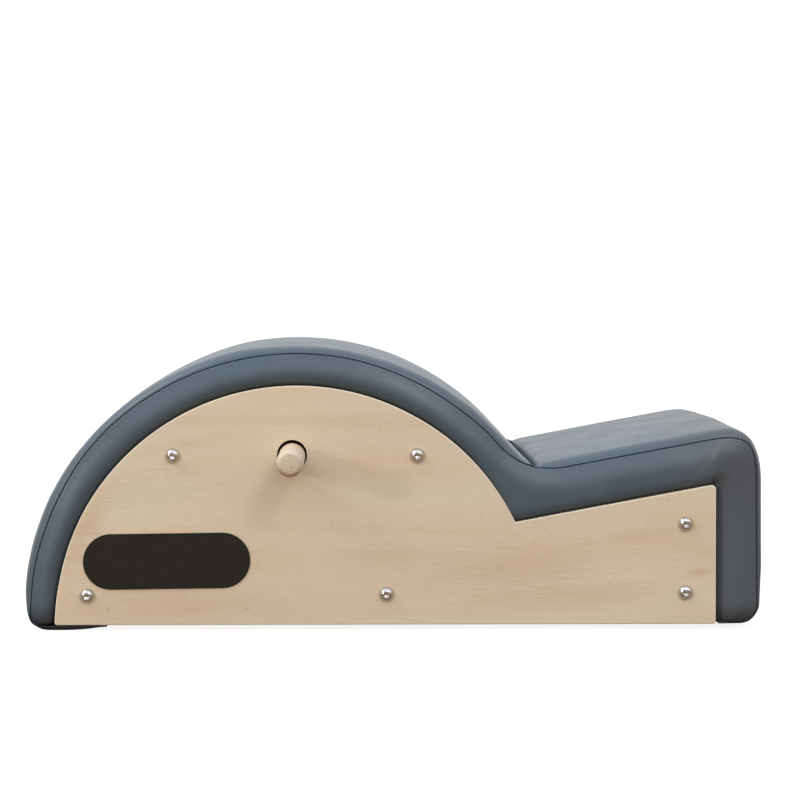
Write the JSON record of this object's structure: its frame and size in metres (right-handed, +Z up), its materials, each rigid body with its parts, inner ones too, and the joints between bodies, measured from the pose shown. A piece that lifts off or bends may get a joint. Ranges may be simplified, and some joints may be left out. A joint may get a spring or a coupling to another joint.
{
  "type": "pilates spine corrector",
  "caption": "Low padded exercise arc with a sloping padded seat at one end, plywood sides bolted through, and a slide-out wooden handle in each side.",
  "frame": {"origin": "on the floor, under the middle of the bounding box", "axes": "+X from the arc towards the seat's end, +Y from the front side panel (the one with the plate) to the back one, +Z up"},
  "size_m": [0.9342, 0.62, 0.3588],
  "materials": {
    "plywood": "clear satin lacquer over pale beech veneer, fine straight grain",
    "inner_plywood": "bare plywood",
    "pine": "bare sawn pine",
    "beech": "turned pale hardwood, satin lacquer",
    "steel": "polished stainless",
    "zinc": "zinc plated",
    "lining": "thin black non-woven cloth",
    "rubber": "black matte rubber",
    "foam": "dense upholstery foam",
    "leather": "slate blue-grey coated upholstery leather, fine grain, soft sheen",
    "plate": "thin black satin plate, bare"
  },
  "bodies": {
    "frame": {"side_panel_front": "plywood", "side_panel_back": "plywood", "inner_rib_front": "inner_plywood", "inner_rib_back": "inner_plywood", "arc_deck": "inner_plywood", "seat_board": "inner_plywood", "end_board": "inner_plywood", "rail_upper_left": "pine", "rail_upper_right": "pine", "rail_lower_left": "pine", "rail_lower_middle": "pine", "rail_end_upper": "pine", "rail_end_lower": "pine", "foot_block_front": "pine", "foot_block_back": "pine", "handle_guide_front": "pine", "handle_guide_back": "pine", "bolt_upper_left_front": "steel", "bolt_upper_left_back": "steel", "bolt_upper_right_front": "steel", "bolt_upper_right_back": "steel", "bolt_lower_left_front": "steel", "bolt_lower_left_back": "steel", "bolt_lower_middle_front": "steel", "bolt_lower_middle_back": "steel", "bolt_end_upper_front": "steel", "bolt_end_upper_back": "steel", "bolt_end_lower_front": "steel", "bolt_end_lower_back": "steel", "insert_upper_left_front": "zinc", "insert_upper_left_back": "zinc", "insert_upper_right_front": "zinc", "insert_upper_right_back": "zinc", "insert_lower_left_front": "zinc", "insert_lower_left_back": "zinc", "insert_lower_middle_front": "zinc", "insert_lower_middle_back": "zinc", "insert_end_upper_front": "zinc", "insert_end_upper_back": "zinc", "insert_end_lower_front": "zinc", "insert_end_lower_back": "zinc", "foot_screw_toe_front": "zinc", "foot_screw_toe_back": "zinc", "foot_screw_end_front": "zinc", "foot_screw_end_back": "zinc", "bottom_lining": "lining", "foot_toe_front": "rubber", "foot_toe_back": "rubber", "foot_end_front": "rubber", "foot_end_back": "rubber", "arc_foam": "foam", "seat_foam": "foam", "arc_cover": "leather", "seat_cover": "leather", "toe_flap": "leather", "heel_flap": "leather", "name_plate": "plate"},
    "front_handle": {"handle_front": "beech"},
    "back_handle": {"handle_back": "beech"}
  },
  "joints": [
    {"name": "front_handle_slide", "type": "slide", "parent": "frame", "child": "front_handle", "axis": [0, -1, 0], "range_m": [-0.1, 0.06]},
    {"name": "back_handle_slide", "type": "slide", "parent": "frame", "child": "back_handle", "axis": [0, 1, 0], "range_m": [-0.1, 0.06]}
  ]
}
